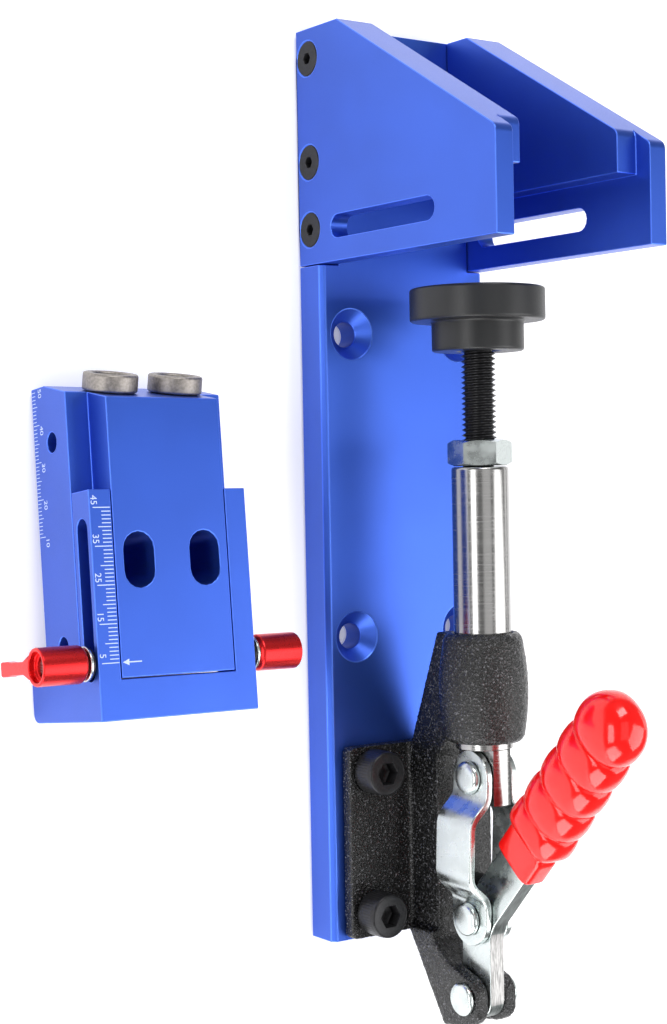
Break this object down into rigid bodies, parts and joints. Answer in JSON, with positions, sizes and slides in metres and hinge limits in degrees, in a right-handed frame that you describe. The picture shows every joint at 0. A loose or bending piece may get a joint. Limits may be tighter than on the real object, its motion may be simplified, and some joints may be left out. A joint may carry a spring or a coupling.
{
  "type": "pocket-hole drill guide",
  "caption": "Pocket-hole drill guide: a back plate with slotted cheeks and a push-pull toggle clamp, and a bored guide block with a sliding stop frame lying beside it.",
  "frame": {"origin": "on the back plate's rear face, in the middle of its four mounting holes", "axes": "+X across the plate to the clamp's right side, +Y along the plate towards the cheeks, +Z out of the plate's face; the plate lies on its back on z = 0"},
  "size_m": [0.166, 0.2915, 0.1088],
  "materials": {
    "blue_aluminium": "satin anodised",
    "black_casting": "black paint, rough cast",
    "black_oxide": "black oxide",
    "bright_steel": "ground",
    "zinc_plate": "zinc plated",
    "black_plastic": "satin",
    "red_vinyl": "gloss",
    "red_aluminium": "anodised"
  },
  "bodies": {
    "station": {"base_plate": "blue_aluminium", "cheek_left": "blue_aluminium", "cheek_right": "blue_aluminium", "cheek_screw_left_1": "black_oxide", "cheek_screw_left_2": "black_oxide", "cheek_screw_left_3": "black_oxide", "cheek_screw_right_1": "black_oxide", "cheek_screw_right_2": "black_oxide", "cheek_screw_right_3": "black_oxide", "clamp_body": "black_casting", "flange_screw_1": "black_oxide", "flange_screw_2": "black_oxide", "flange_screw_3": "black_oxide", "flange_screw_4": "black_oxide", "tail_rivet": "zinc_plate", "guide_block": "blue_aluminium", "drill_bush_left": "bright_steel", "drill_bush_right": "bright_steel"},
    "handle": {"handle_bar": "zinc_plate", "handle_grip": "red_vinyl", "elbow_rivet": "zinc_plate"},
    "links": {"link_left": "zinc_plate", "link_right": "zinc_plate", "link_rivet_left": "zinc_plate", "link_rivet_right": "zinc_plate"},
    "plunger": {"plunger": "bright_steel", "plunger_pin": "zinc_plate", "lock_nut": "zinc_plate", "spindle": "black_oxide", "clamp_pad": "black_plastic"},
    "stop_frame": {"slide_frame": "blue_aluminium"},
    "knob_left": {"knob_left": "red_aluminium", "knob_stud_left": "bright_steel", "knob_washer_left": "zinc_plate"},
    "knob_right": {"knob_right": "red_aluminium", "knob_stud_right": "bright_steel", "knob_washer_right": "zinc_plate"}
  },
  "joints": [
    {"name": "handle_swing", "type": "hinge", "parent": "station", "child": "handle", "pos_m": [0, -0.1479, 0.0428], "axis": [1, 0, 0], "range_deg": [0, 128]},
    {"name": "link_swing", "type": "hinge", "parent": "handle", "child": "links", "pos_m": [0, -0.1251, 0.0428], "axis": [1, 0, 0], "range_deg": [-154, 0]},
    {"name": "plunger_stroke", "type": "slide", "parent": "station", "child": "plunger", "axis": [0, -1, 0], "range_m": [0, 0.0402]},
    {"name": "stop_slide", "type": "slide", "parent": "station", "child": "stop_frame", "axis": [-0.0147, -0.9939, 0.1096], "range_m": [0, 0.0345]},
    {"name": "knob_turn_left", "type": "hinge", "parent": "station", "child": "knob_left", "pos_m": [-0.0964, -0.04394, 0.03257], "axis": [0.9999, -0.0148, 0], "range_deg": [-180, 180]},
    {"name": "knob_turn_right", "type": "hinge", "parent": "station", "child": "knob_right", "pos_m": [-0.0964, -0.04394, 0.03257], "axis": [0.9999, -0.0148, 0], "range_deg": [-180, 180]}
  ],
  "couplings": [
    {"joint": "link_swing", "follows": "handle_swing", "ratio": -1.1994},
    {"joint": "plunger_stroke", "follows": "handle_swing", "m_per_rad": 0.017865}
  ]
}
